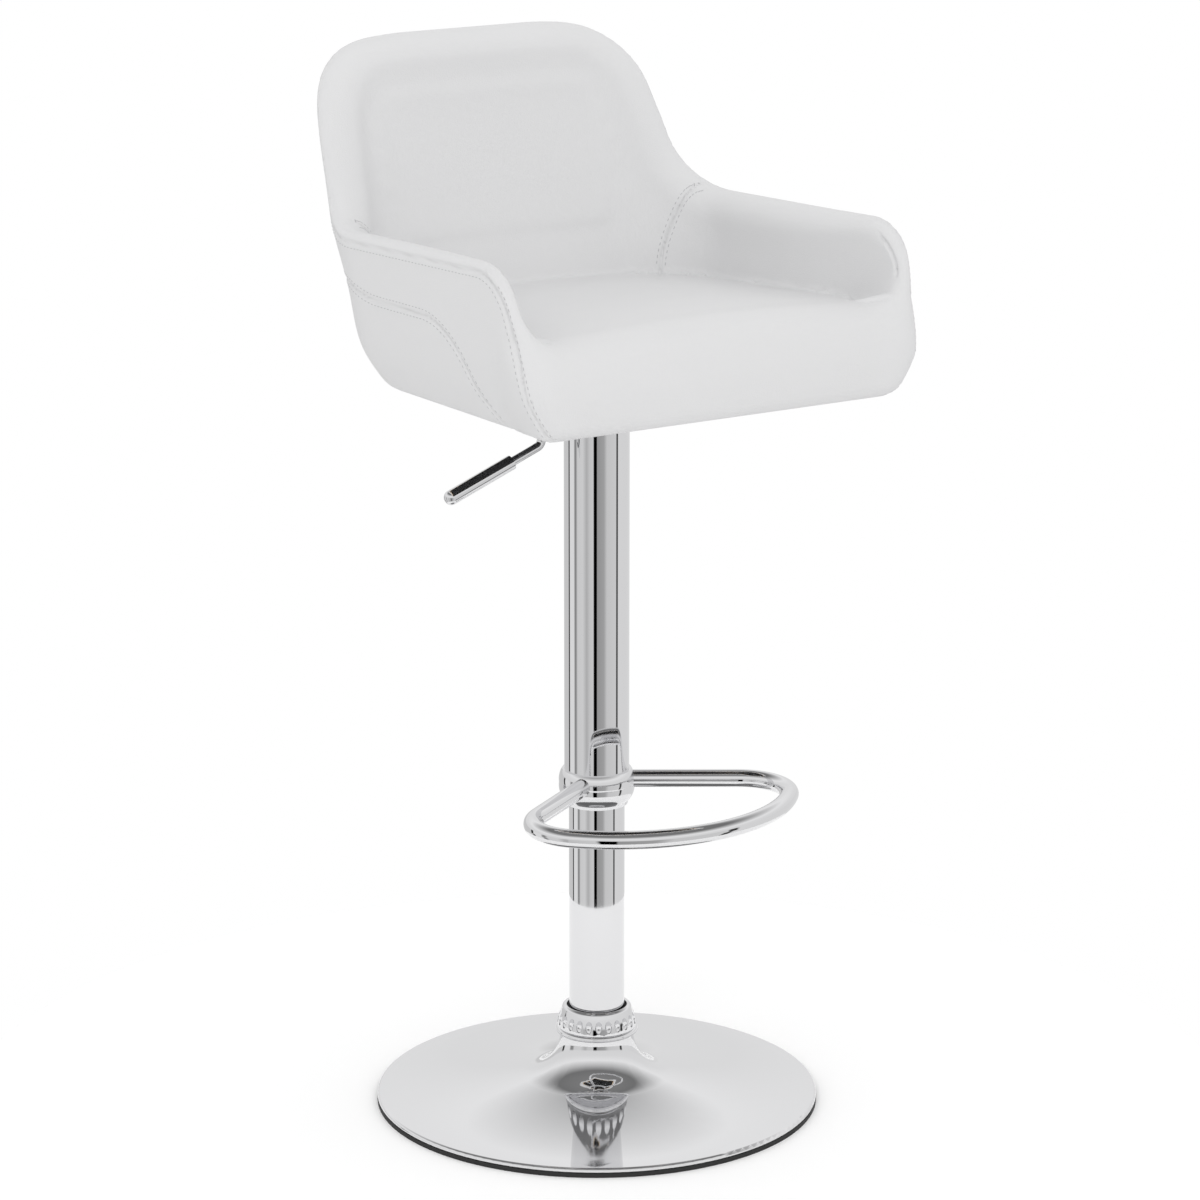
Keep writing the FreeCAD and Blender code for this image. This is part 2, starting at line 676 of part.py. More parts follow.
def make_seat_fasteners():
    under_washer = "plate_top - sheet - seat_washer"
    bolts = new_body("seat_bolts")
    heads = four_circles(new_sketch(bolts, "heads_outline", "XY_Plane", under_washer),
                         "bolt_spacing", "bolt_head")
    pad(bolts, "heads", heads, "bolt_head_height", down=True)
    shanks = four_circles(new_sketch(bolts, "shanks_outline", "XY_Plane", under_washer),
                          "bolt_spacing", "bolt_radius")
    pad(bolts, "shanks", shanks, "bolt_length")

    washers = new_body("seat_bolt_washers")
    rings = four_circles(new_sketch(washers, "washers_outline", "XY_Plane", under_washer),
                         "bolt_spacing", "bolt_head + 1.8")
    four_circles(rings, "bolt_spacing", "bolt_radius + 0.2")
    pad(washers, "washers", rings, "seat_washer")

    nuts = new_body("tee_nuts")
    barrels = four_circles(new_sketch(nuts, "barrels_outline", "XY_Plane", BOARD_BOTTOM),
                           "bolt_spacing", "tee_barrel")
    four_circles(barrels, "bolt_spacing", "bolt_radius")
    pad(nuts, "barrels", barrels, "board_thickness")
    discs = four_circles(new_sketch(nuts, "discs_outline", "XY_Plane", BOARD_TOP), "bolt_spacing", "tee_disc")
    four_circles(discs, "bolt_spacing", "bolt_radius")
    pad(nuts, "discs", discs, "tee_thickness", down=True)


# ---------------------------------------------------------------- release lever
def make_lever():
    """A bent rod: over the release pin, out through the pan's side, down, then out to the grip."""
    high = value("lever_height")
    low = value("lever_drop")
    bend_x = -value("lever_bend_x")
    fall = math.radians(value("lever_fall"))
    radius = value("lever_radius")
    curve = value("lever_curve")
    outward = FreeCAD.Vector(-math.cos(fall), 0, -math.sin(fall))
    grip_from = FreeCAD.Vector(bend_x, 0, low) + outward * value("grip_start")
    socket = value("grip_socket")

    corners = [FreeCAD.Vector(value("lever_nose"), 0, high), FreeCAD.Vector(bend_x, 0, high),
               FreeCAD.Vector(bend_x, 0, low), grip_from + outward * socket]
    edges = []
    last = corners[0]
    for i in (1, 2):
        back = (corners[i - 1] - corners[i]).normalize()
        ahead = (corners[i + 1] - corners[i]).normalize()
        half_turn = back.getAngle(ahead) / 2
        setback = curve / math.tan(half_turn)
        start = corners[i] + back * setback
        end = corners[i] + ahead * setback
        to_centre = (back + ahead).normalize()
        middle = corners[i] + to_centre * (curve / math.sin(half_turn) - curve)
        edges.append(Part.makeLine(last, start))
        edges.append(Part.Arc(start, middle, end).toShape())
        last = end
    edges.append(Part.makeLine(last, corners[3]))
    profile = Part.Wire(Part.makeCircle(radius, corners[0], FreeCAD.Vector(-1, 0, 0)))
    rod = Part.Wire(edges).makePipeShell([profile], True, True)
    bore_from = FreeCAD.Vector(-value("lever_pivot"), -2 * radius, high)
    bore = Part.makeCylinder(value("pivot_bore"), 4 * radius, bore_from, FreeCAD.Vector(0, 1, 0))
    add_feature("lever_rod", rod.cut(bore))

    # the grip is a plain cylinder with a half-round end, bored to take the rod
    grip_radius = value("grip_radius")
    straight = value("grip_length") - grip_radius
    grip = Part.makeCylinder(grip_radius, straight, grip_from, outward)
    dome = Part.makeSphere(grip_radius, grip_from + outward * straight)
    grip = grip.fuse(dome).removeSplitter()
    add_feature("lever_grip", grip.cut(Part.makeCylinder(radius, socket, grip_from, outward)))


# ---------------------------------------------------------------- seat
# the bucket's outer face: height, half width, front, back, front curve, back curve
BUCKET = [
    ("seat_floor", "174", "196", "98", "42", "72"),
    ("seat_floor + 38", "194", "205", "135", "42", "84"),
    ("seat_floor + 97", "203", "212", "172", "42", "92"),
    ("arm_top + 4", "206", "214", "204", "45", "96"),
    ("arm_top + 74", "205", "214", "224", "50", "98"),
    ("back_top + 6", "200", "214", "232", "55", "98"),
]


def inset(sections, amount, front=None, lift="0"):
    """The same sections drawn in by an amount, and with the front opened out where asked."""
    rows = []
    for number, (height, width, ahead, back, front_curve, back_curve) in enumerate(sections):
        if number == 0:
            height += " + " + lift
        new_front = front or "%s - %s" % (ahead, amount)
        rows.append((height, "%s - %s" % (width, amount), new_front, "%s - %s" % (back, amount),
                     front_curve, "%s - %s * 0.6" % (back_curve, amount)))
    return rows


def trim_rim(body, drop):
    """Cut the bucket's rim: low arms with a raked front, rising into a back with rounded top corners."""
    top = "arm_top - %s" % drop
    front = "-205 + %s" % drop
    cut_through(body, "side_cut", "YZ_Plane", [
        ("-400", "seat_floor - 20"), (front + " + 8", "seat_floor - 20"), (front, "seat_floor + 34"),
        ("-156 + %s" % drop, top), ("98", top), ("155", "arm_top + 36 - %s" % drop),
        ("196", "back_top + 60"), ("196", "back_top + 200"), ("-400", "back_top + 200")],
        {4: ("62", 1)})
    cut_through(body, "back_cut", "XZ_Plane", [
        ("210 - %s" % drop, "arm_top + 6"), ("184 - %s" % drop, "back_top - 66"),
        ("118 - %s * 0.8" % drop, "back_top - 10 - %s" % drop),
        ("-118 + %s * 0.8" % drop, "back_top - 10 - %s" % drop),
        ("-184 + %s" % drop, "back_top - 66"), ("-210 + %s" % drop, "arm_top + 6"), ("-400", "arm_top + 6"),
        ("-400", "back_top + 200"), ("400", "back_top + 200"), ("400", "arm_top + 6")],
        {1: ("78", 1), 2: ("700", 1), 3: ("78", 1)})


# how far forward the inside of the bucket is cut: past its front, so that it is open there
OPEN_FRONT = "260"


def make_seat():
    """The bucket: a bent plywood shell, and the padded cover that wraps both of its faces."""
    frame = new_body("shell_frame")
    loft(frame, "frame_outside", inset(BUCKET, "frame_inset"))
    loft(frame, "frame_inside",
         inset(BUCKET, "frame_inset + floor_thickness", front=OPEN_FRONT, lift="floor_thickness"), cut=True)
    trim_rim(frame, "frame_inset")
    above_floor = new_sketch(frame, "frame_holes_outline", "XY_Plane", "seat_floor + floor_thickness + 1")
    pad(frame, "frame_holes", four_circles(above_floor, "bolt_spacing", "bolt_hole"),
        "floor_thickness + 3", cut=True)

    cover = doc.addObject("PartDesign::Body", "cover_block")
    loft(cover, "cover_outside", inset(BUCKET, "0"))
    loft(cover, "cover_inside", inset(BUCKET, "pad", front=OPEN_FRONT), cut=True)
    trim_rim(cover, "0")
    above_board = new_sketch(cover, "board_room_outline", "XY_Plane", BOARD_TOP + " + board_gap")
    rounded_outline(above_board, "board_half + 0.5", "board_front + 0.5", "board_back + 0.5", "board_corner",
                    "board_corner")
    pad(cover, "board_room", above_board, "board_thickness + floor_thickness + 10", cut=True)
    doc.recompute()
    shell = doc.addObject("Part::Cut", "shell_cover")
    shell.Base = cover
    shell.Tool = frame
    shell.Label = "shell_cover"
    NODES.append(shell)


def make_cushion():
    """The foam seat on its plywood board, with a lip that comes down over the board's front edge."""
    board = new_body("seat_board")
    outline = rounded_outline(new_sketch(board, "board_outline", "XY_Plane", BOARD_BOTTOM),
                              "board_half", "board_front", "board_back", "board_corner", "board_corner")
    pad(board, "board_pad", outline, "board_thickness")
    doc.recompute()
    barrels = four_circles(new_sketch(board, "board_holes_outline", "XY_Plane", BOARD_TOP),
                           "bolt_spacing", "tee_barrel")
    pad(board, "board_holes", barrels, "board_thickness + 1", cut=True)
    seats = four_circles(new_sketch(board, "board_seats_outline", "XY_Plane", BOARD_TOP),
                         "bolt_spacing", "tee_disc")
    pad(board, "board_seats", seats, "tee_thickness", cut=True)

    cushion = new_body("seat_cushion")
    loft(cushion, "cushion_block", [
        (BOARD_BOTTOM + " + board_gap", "134", "202", "56", "40", "52"),
        ("seat_floor + 28", "145", "214", "76", "44", "64"),
        ("cushion_top - 24", "155", "214", "100", "52", "74"),
        ("cushion_top - 7", "148", "196", "99", "56", "72"),
        ("cushion_top", "112", "156", "76", "56", "60"),
    ])
    above_board = new_sketch(cushion, "board_space_outline", "XY_Plane", BOARD_TOP + " + board_gap")
    rounded_outline(above_board, "200", "board_front + 0.5", "200", "board_corner", "board_corner")
    pad(cushion, "board_space", above_board, "board_thickness + 4", cut=True)

    dust = new_body("dust_cover")
    outline = rounded_outline(new_sketch(dust, "dust_outline", "XY_Plane", "plate_top"),
                              "152", "board_front", "78", "30", "56")
    four_circles(outline, "bolt_spacing", "bolt_hole")
    pad(dust, "dust_pad", outline, "seat_floor - plate_top - dust_gap")


def make_all():
    make_foot()
    make_trim()
    make_column()
    make_bearing()
    make_gas_spring()
    make_sleeve()
    make_footrest()
    make_seat_plate()
    make_seat_fasteners()
    make_lever()
    make_seat()
    make_cushion()


def write_all():
    doc.recompute()
    faults = []
    for item in doc.Objects:
        if "Invalid" in item.State or "Error" in item.State:
            faults.append("%s: %s" % (item.Label, item.State))
    for node in NODES:
        if node.Shape.isNull() or not node.Shape.isValid() or not node.Shape.Solids:
            faults.append("%s: bad shape" % node.Label)
    if faults:
        sys.exit("\n".join(faults))
    os.makedirs("parts", exist_ok=True)
    for node in NODES:
        node.Shape.exportStep("parts/%s.step" % node.Label)
        print("%-20s %2d solids %10.0f mm3" % (node.Label, len(node.Shape.Solids), node.Shape.Volume))


make_all()
write_all()
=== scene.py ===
"""Looks of the adjustable swivel stool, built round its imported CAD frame.

Metres, +Z up, the seat faces -Y. The upholstery is worked out in millimetres and scaled at the end.
"""

import json
import math

import bmesh
import bpy
import numpy as np
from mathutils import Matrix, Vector
from mathutils.bvhtree import BVHTree
from mathutils.kdtree import KDTree


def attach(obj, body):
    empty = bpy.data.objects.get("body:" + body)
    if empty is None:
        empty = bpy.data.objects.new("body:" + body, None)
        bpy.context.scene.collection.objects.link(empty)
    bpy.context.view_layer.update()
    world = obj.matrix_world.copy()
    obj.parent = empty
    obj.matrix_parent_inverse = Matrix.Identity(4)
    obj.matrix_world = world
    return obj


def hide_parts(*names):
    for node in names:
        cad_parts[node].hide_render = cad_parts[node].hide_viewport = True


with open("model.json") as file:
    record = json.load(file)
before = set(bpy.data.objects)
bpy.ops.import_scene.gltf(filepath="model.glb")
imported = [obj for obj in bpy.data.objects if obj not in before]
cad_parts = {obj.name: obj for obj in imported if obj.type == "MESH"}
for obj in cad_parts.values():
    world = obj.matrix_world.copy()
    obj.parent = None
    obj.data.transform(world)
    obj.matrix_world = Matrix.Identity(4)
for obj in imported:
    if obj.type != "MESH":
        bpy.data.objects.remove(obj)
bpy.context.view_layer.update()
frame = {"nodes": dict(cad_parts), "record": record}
MM = 0.001

# ---------------------------------------------------------------- the bucket's shape
# sections of the bucket's outer face: height, half width, back, corner radius at the back
SECTIONS = [(665, 173, 104, 52), (703, 194, 136, 80), (755, 204, 163, 110),
            (810, 206, 190, 112), (884, 204, 216, 106), (952, 202, 226, 92)]
# sections of the arms' fronts, which lean back: height, front edge, corner radius at the front
FRONT_SECTIONS = [(680, 213, 24), (705, 213, 20), (750, 204, 38), (800, 198, 38)]
FLOOR = 665.2
# the wall is unrolled on a surface this far inside its outer face
HALF = 15.0
# the distance round the wall, from the middle of the back, at the place beside the column's axis
SIDE_START = 340.0
# the padded wall is thick in the back and slim at the front of the arms, and thins between these places
BACK_THICK = 34.0
ARM_THICK = 15.0
THIN_FROM, THIN_TO = 30.0, 195.0
# the rim's rounding on the outer side, and on the inner side as a share of the thickness
OUTER_EDGE = 10.0
INNER_EDGE = 0.7

# Lines in the unrolled wall are rows of distance round the wall, height and the radius that rounds the
# corner there.
BACK_TOP = 951.5
ARM_FRONT_TOP = 813.0
# level over the back, down a slope to the arms, along them, and down their raked fronts
RIM = [(-80, BACK_TOP, 0), (50, BACK_TOP, 300), (132, 945, 110), (211, 803, 82),
       (513, ARM_FRONT_TOP, 56), (550, 710, 220), (541, 600, 0)]
# round the back and the sides below the arms, then down to the foot of the arm's front
SIDE_SEAM_CORNERS = [(-60, 760, 0), (254, 760, 90), (296, 751.5, 120), (424, 753.5, 72), (480, 650, 0)]
# up the bucket's inner back corner
INNER_SEAM_CORNERS = [(240, 822, 0), (205, 778, 120), (205, 715, 0)]
ARC_STEP = 4.0


def spline(points, per_span=20):
    """A smooth line through points (Catmull-Rom)."""
    points = np.asarray(points, float)
    ends = np.vstack([2 * points[0] - points[1], points, 2 * points[-1] - points[-2]])
    out = []
    for i in range(1, len(ends) - 2):
        p0, p1, p2, p3 = ends[i - 1:i + 3]
        for t in np.arange(per_span) / per_span:
            out.append(0.5 * (2 * p1 + (p2 - p0) * t + (2 * p0 - 5 * p1 + 4 * p2 - p3) * t ** 2
                              + (3 * p1 - p0 - 3 * p2 + p3) * t ** 3))
    out.append(points[-1])
    return np.array(out)


def rounded(rows):
    """A line through corners, each turned on an arc of its own radius."""
    rows = np.array(rows, float)
    places, radii = rows[:, :2], rows[:, 2]
    line = [places[0]]
    for before, corner, after, radius in zip(places, places[1:], places[2:], radii[1:]):
        coming = (corner - before) / np.linalg.norm(corner - before)
        going = (after - corner) / np.linalg.norm(after - corner)
        half_turn = math.acos(coming @ going) / 2
        along = (going + coming) / np.linalg.norm(going + coming)
        inward = (going - coming) / np.linalg.norm(going - coming)
        centre = corner + inward * radius / math.cos(half_turn)
        count = max(3, int(2 * half_turn * radius / ARC_STEP))
        for angle in np.linspace(-half_turn, half_turn, count):
            line.append(centre + radius * (math.sin(angle) * along - math.cos(angle) * inward))
    line.append(places[-1])
    return np.array(line)


OUTLINE = spline(SECTIONS).T
FRONTS = np.array(FRONT_SECTIONS, float).T
RIM_LINE = rounded(RIM)
SIDE_SEAM = rounded(SIDE_SEAM_CORNERS)
INNER_SEAM = rounded(INNER_SEAM_CORNERS)


def at_height(z):
    """Half width, back and back corner radius of the outer face at a height."""
    heights, *columns = OUTLINE
    return tuple(np.interp(z, heights, column) for column in columns)


def outer_gap(p):
    """Level distance outside the bucket's outline: below zero inside."""
    width, back, corner = at_height(p[:, 2])
    front = np.interp(p[:, 2], FRONTS[0], FRONTS[1])
    corner = np.where(p[:, 1] > 0, corner, np.interp(p[:, 2], FRONTS[0], FRONTS[2]))
    middle = (back - front) / 2
    qx = np.abs(p[:, 0]) - width + corner
    qy = np.abs(p[:, 1] - middle) - (back + front) / 2 + corner
    outside = np.hypot(np.maximum(qx, 0), np.maximum(qy, 0))
    return outside + np.minimum(np.maximum(qx, qy), 0) - corner


def wall_gap(p):
    """Level distance outside the wall's outline, which is open at the front."""
    width, back, corner = at_height(p[:, 2])
    qx = np.abs(p[:, 0]) - width + corner
    qy = np.maximum(p[:, 1] - back + corner, 0)
    return np.where((qx > 0) | (p[:, 1] < back - corner),
                    np.hypot(np.maximum(qx, 0), qy) + np.minimum(qx, 0) * (qy <= 0),
                    qy) - corner


def round_wall(p):
    """Distance round the wall from the middle of the back, measured on the wall's middle."""
    width, back, corner = at_height(p[:, 2])
    x = np.abs(p[:, 0])
    across = np.maximum(x - (width - corner), 0)
    behind = np.maximum(p[:, 1] - (back - corner), 0)
    radius = corner - HALF
    start = SIDE_START - (back - corner)
    turn = np.where((across > 0) | (behind > 0),
                    np.arctan2(across, np.maximum(behind, 1e-9)), math.pi / 2)
    side = start + np.maximum(back - corner - p[:, 1], 0)
    corner_t = start - radius * (math.pi / 2 - turn) - np.maximum(width - corner - x, 0)
    return np.where(p[:, 1] < back - corner, side, corner_t)


def rim_gap(t, z, line=RIM_LINE):
    """Signed distance from the rim line in the unrolled wall: below zero on the wall's side."""
    a = line[:-1]
    d = line[1:] - a
    best = np.full(len(t), 1e9)
    sign = np.ones(len(t))
    for start, step in zip(a, d):
        along = np.clip(((t - start[0]) * step[0] + (z - start[1]) * step[1]) / (step @ step), 0, 1)
        dt = t - start[0] - along * step[0]
        dz = z - start[1] - along * step[1]
        dist = np.hypot(dt, dz)
        nearer = dist < best
        best = np.where(nearer, dist, best)
        sign = np.where(nearer, np.sign(dz * step[0] - dt * step[1]), sign)
    return best * sign


def smooth_min(a, b, k):
    h = np.clip(0.5 + 0.5 * (b - a) / k, 0, 1)
    return b + (a - b) * h - k * h * (1 - h)


def smooth_max(a, b, k):
    return -smooth_min(-a, -b, k)


def ramp(x, low, high):
    """0 at low, 1 at high, smooth between."""
    s = np.clip((x - low) / (high - low), 0, 1)
    return s * s * (3 - 2 * s)


def thickness(p):
    """How thick the padded wall is at each point."""
    return BACK_THICK - (BACK_THICK - ARM_THICK) * ramp(-p[:, 1], THIN_FROM, THIN_TO)


def wall_field(p):
    """The padded wall: its rim turns tightly on the outer side and softly on the inner side."""
    thick = thickness(p)
    inward = -wall_gap(p)
    edge = rim_gap(round_wall(p), p[:, 2])
    soft = thick * INNER_EDGE
    outer_edge = np.minimum(OUTER_EDGE, thick - soft)
    outer_side = inward < outer_edge
    radius = np.where(outer_side, outer_edge, soft)
    across = np.where(outer_side, -inward, inward - thick) + radius
    over = edge + radius
    outside = np.hypot(np.maximum(across, 0), np.maximum(over, 0))
    return outside + np.minimum(np.maximum(across, over), 0) - radius


# how far the seat is pressed into the wall behind and beside it, and how much further at the front
SEAT_INTO_WALL = 9.0
SEAT_INTO_ARMS = 4.0
SEAT_WIDENS_FROM, SEAT_WIDENS_TO = 120, 190
SEAT_FRONT = 216.0
SEAT_FRONT_CORNER = 36.0
# its front bows out in plan, and draws in below this height
SEAT_FRONT_BOW = 4.0
SEAT_TUCK = 8.0
SEAT_TUCK_TOP, SEAT_TUCK_REACH = 700, 45
# its top rises towards the front and is crowned across
SEAT_TOP = 735.0
SEAT_RAKE = 0.065
SEAT_CROWN = 7.0
SEAT_CROWN_HALF = 165.0
# the rounding of its upper edge, at the back and at the front
SEAT_EDGE = 14.0
SEAT_FRONT_EDGE = 48.0
SEAT_EDGE_FROM, SEAT_EDGE_TO = 80, 180


def cushion_field(p):
    """The seat: crowned on top, full at its front, filling the space between the arms."""
    x, y, z = p.T
    width, back, corner = at_height(z)
    front_part = ramp(-y, SEAT_WIDENS_FROM, SEAT_WIDENS_TO)
    half = width - thickness(p) + SEAT_INTO_WALL + front_part * SEAT_INTO_ARMS
    rear = back - BACK_THICK + SEAT_INTO_WALL
    corner = np.where(y > 0, corner - BACK_THICK * 0.6, SEAT_FRONT_CORNER)
    front = SEAT_FRONT - SEAT_TUCK * ramp(SEAT_TUCK_TOP - z, 0, SEAT_TUCK_REACH)
    front = front - SEAT_FRONT_BOW * (x / 200) ** 2
    middle = (rear - front) / 2
    qx = np.abs(x) - half + corner
    qy = np.abs(y - middle) - (rear + front) / 2 + corner
    side = np.hypot(np.maximum(qx, 0), np.maximum(qy, 0)) + np.minimum(np.maximum(qx, qy), 0) - corner
    top = (z - SEAT_TOP + SEAT_RAKE * y - SEAT_CROWN * (1 - (x / SEAT_CROWN_HALF) ** 2)) * 0.98
    edge = SEAT_EDGE + (SEAT_FRONT_EDGE - SEAT_EDGE) * ramp(-y, SEAT_EDGE_FROM, SEAT_EDGE_TO)
    return smooth_max(side, top, edge)


# the crease between seat and arms is tight behind and fades out at the front corners
CREASE = 3.0
FADED_CREASE = 40.0
FADE_FROM, FADE_TO = 125, 195
FADE_INSIDE, FADE_OUTSIDE = 60, 140
# the seat may stand out of the bucket's outline by this much
STANDS_OUT = 3.0
# the hem rises under the front, between these distances ahead of the axis
HEM_RISE = 7.0
HEM_FROM, HEM_TO = 184, 214
HEM_EDGE = 11.0


def smooth_form(p):
    """The upholstery as one form, without its seams."""
    fading = ramp(-p[:, 1], FADE_FROM, FADE_TO) * ramp(np.abs(p[:, 0]), FADE_INSIDE, FADE_OUTSIDE)
    body = smooth_min(wall_field(p), cushion_field(p), CREASE + (FADED_CREASE - CREASE) * fading)
    body = smooth_max(body, outer_gap(p) - STANDS_OUT, 10)
    hem = FLOOR + HEM_RISE * ramp(-p[:, 1], HEM_FROM, HEM_TO)
    return smooth_max(body, hem - p[:, 2], HEM_EDGE)


# one seam follows the rim at this distance
SEAM_INSET = 8.0
GROOVE_DEPTH = 2.0
GROOVE_HALF = 1.4
# the inner corner seams end in the crease, at this height
INNER_SEAM_FOOT = 725.0
NO_SEAM = 99.0


def seam_gaps(p):
    """Distance from the nearest seam, in the wall's unrolled face that the point lies on."""
    t, z = round_wall(p), p[:, 2]
    outside = -wall_gap(p) < BACK_THICK / 2
    above = -rim_gap(t, z)
    outer = np.minimum(np.abs(above - SEAM_INSET), np.abs(rim_gap(t, z, SIDE_SEAM)))
    inner = np.abs(rim_gap(t, z, INNER_SEAM))
    inner = np.where(outside | (z < INNER_SEAM_FOOT), NO_SEAM, inner)
    return np.where(outside & (z > FLOOR + 1), outer, inner)


def seat_field(p):
    """The form with its seams drawn in."""
    groove = np.exp(-(seam_gaps(p) / GROOVE_HALF) ** 2)
    return smooth_form(p) + GROOVE_DEPTH * groove


def surface_nets(field, low, high, step):
    """Quads of the field's zero surface. The field is the same on both sides of x = 0."""
    count_x = int(math.ceil(high[0] / step))
    axes = [np.arange(-count_x, count_x + 1) * step,
            np.arange(low[1], high[1] + step, step), np.arange(low[2], high[2] + step, step)]
    shape = tuple(len(a) for a in axes)
    values = np.empty(shape)
    yy, zz = (g.ravel() for g in np.meshgrid(axes[1], axes[2], indexing="ij"))
    for i in range(count_x, shape[0]):
        slab = field(np.stack([np.full(yy.size, axes[0][i]), yy, zz], 1)).reshape(shape[1:])
        values[i] = slab
        values[2 * count_x - i] = slab
    cells = tuple(n - 1 for n in shape)
    total = np.zeros(cells + (3,))
    hits = np.zeros(cells)
    crossings = []
    for axis in range(3):
        first = np.moveaxis(values, axis, 0)
        a, b = np.moveaxis(first[:-1], 0, axis), np.moveaxis(first[1:], 0, axis)
        index = np.argwhere((a < 0) != (b < 0))
        va, vb = a[tuple(index.T)], b[tuple(index.T)]
        place = index.astype(float)
        place[:, axis] += va / (va - vb)
        crossings.append((axis, index, va < 0))
        others = [k for k in range(3) if k != axis]
        for du in (0, 1):
            for dv in (0, 1):
                cell = index.copy()
                cell[:, others[0]] -= du
                cell[:, others[1]] -= dv
                fits = np.all((cell >= 0) & (cell < cells), axis=1)
                where = tuple(cell[fits].T)
                np.add.at(total, where, place[fits])
                np.add.at(hits, where, 1)
    number = np.full(cells, -1)
    used = hits > 0
    number[used] = np.arange(used.sum())
    points = total[used] / hits[used][:, None] * step + np.array([axes[0][0], axes[1][0], axes[2][0]])
    faces = []
    for axis, index, leaving in crossings:
        u, v = [k for k in range(3) if k != axis]
        corners = []
        for du, dv in ((1, 1), (0, 1), (0, 0), (1, 0)):
            cell = index.copy()
            cell[:, u] -= du
            cell[:, v] -= dv
            corners.append(number[tuple(cell.T)])
        quad = np.stack(corners, 1)
        turned = leaving if axis != 1 else ~leaving
        quad[~turned] = quad[~turned][:, ::-1]
        faces.append(quad)
    return points, np.concatenate(faces)


def slopes(field, p, reach=0.4):
    """The field's gradient at each point."""
    steps = np.eye(3) * reach
    return np.stack([(field(p + s) - field(p - s)) / (2 * reach) for s in steps], 1)


def settle(field, p, rounds=2):
    """Move points onto the field's zero surface."""
    for _ in range(rounds):
        slope = slopes(field, p)
        size = np.maximum((slope ** 2).sum(1), 0.05)
        p = p - slope * np.clip(field(p) / size, -3, 3)[:, None]
    return p


def add_mesh(name, points, faces, scale=MM):
    mesh = bpy.data.meshes.new(name)
    mesh.from_pydata((np.asarray(points) * scale).tolist(), [], [list(map(int, face)) for face in faces])
    mesh.update()
    piece = bpy.data.objects.new(name, mesh)
    bpy.context.scene.collection.objects.link(piece)
    return piece


# ---------------------------------------------------------------- materials
def new_material(name, colour, roughness, metallic=0.0, grain=400.0, bump=0.0, vary=0.04, rough_vary=0.05):
    """A procedural material: slow colour and gloss variation, and a fine grain in the surface."""
    material = bpy.data.materials.new(name)
    material.use_nodes = True
    nodes, links = material.node_tree.nodes, material.node_tree.links
    shader = nodes["Principled BSDF"]
    shader.inputs["Metallic"].default_value = metallic
    place = nodes.new("ShaderNodeTexCoord").outputs["Object"]

    def noise(scale, detail=3.0):
        node = nodes.new("ShaderNodeTexNoise")
        node.inputs["Scale"].default_value = scale
        node.inputs["Detail"].default_value = detail
        links.new(place, node.inputs["Vector"])
        return node.outputs["Fac"]

    blotches = nodes.new("ShaderNodeMix")
    blotches.data_type = "RGBA"
    blotches.inputs["A"].default_value = (*[c * (1 - vary) for c in colour], 1)
    blotches.inputs["B"].default_value = (*[min(1, c * (1 + vary)) for c in colour], 1)
    links.new(noise(9.0), blotches.inputs["Factor"])
    links.new(blotches.outputs["Result"], shader.inputs["Base Color"])
    gloss = nodes.new("ShaderNodeMapRange")
    gloss.inputs["To Min"].default_value = max(0.0, roughness - rough_vary)
    gloss.inputs["To Max"].default_value = roughness + rough_vary
    links.new(noise(35.0), gloss.inputs["Value"])
    links.new(gloss.outputs["Result"], shader.inputs["Roughness"])
    if bump:
        height = nodes.new("ShaderNodeBump")
        height.inputs["Strength"].default_value = 1.0
        height.inputs["Distance"].default_value = bump
        links.new(noise(grain, 4.0), height.inputs["Height"])
        links.new(height.outputs["Normal"], shader.inputs["Normal"])
    return material


CHROME = new_material("chrome", (0.76, 0.76, 0.77), 0.03, 1.0, vary=0.01, rough_vary=0.012)
LEATHER = new_material("white_leather", (0.65, 0.65, 0.655), 0.47, grain=900, bump=0.00018, vary=0.012)
# the thread's grey is painted shade: pale nylon thread darkened so the stitches show as the dark dots that
# the shade in their holes gives
SHADE_DARKENED_THREAD = new_material("thread_painted_shade", (0.42, 0.42, 0.43), 0.6, grain=2500, bump=0.0001, vary=0.05)
MATERIALS = {
    "chrome": CHROME,
    "bare_steel": new_material("bare_steel", (0.55, 0.55, 0.57), 0.3, 1.0, grain=700, bump=0.00004),
    "black_steel": new_material("black_steel", (0.025, 0.025, 0.027), 0.45, grain=1500, bump=0.00006),
    "black_rubber": new_material("black_rubber", (0.018, 0.018, 0.018), 0.75, grain=1200, bump=0.0001),
    "white_nylon": new_material("white_nylon", (0.80, 0.80, 0.77), 0.45, grain=600, bump=0.00003),
    "black_nylon": new_material("black_nylon", (0.025, 0.025, 0.025), 0.5, grain=600, bump=0.00003),
    "plywood": new_material("plywood", (0.62, 0.46, 0.29), 0.6, grain=260, bump=0.0002, vary=0.12),
    "white_leather": LEATHER,
    "black_lining": new_material("black_lining", (0.02, 0.02, 0.021), 0.9, grain=1400, bump=0.0003, vary=0.2),
}
for row in frame["record"]["subparts"]:
    node = frame["nodes"][row["node"]]
    node.data.materials.clear()
    node.data.materials.append(MATERIALS[row["material_slot"]])

# ---------------------------------------------------------------- upholstery
LOW, HIGH = (-215, -240, 640), (215, 245, 970)
CELL = 5.0
SWELL_CELL = 8.0
# faces this near to a seam are split
REFINED = 7.0
# the cover is held near the seams and creases, and free beyond them
HELD_WITHIN, FREE_BEYOND = 5.0, 60.0
SWELL_LIMIT = 2.5
PRESSURE = 4.0
SIM_FRAMES = 20


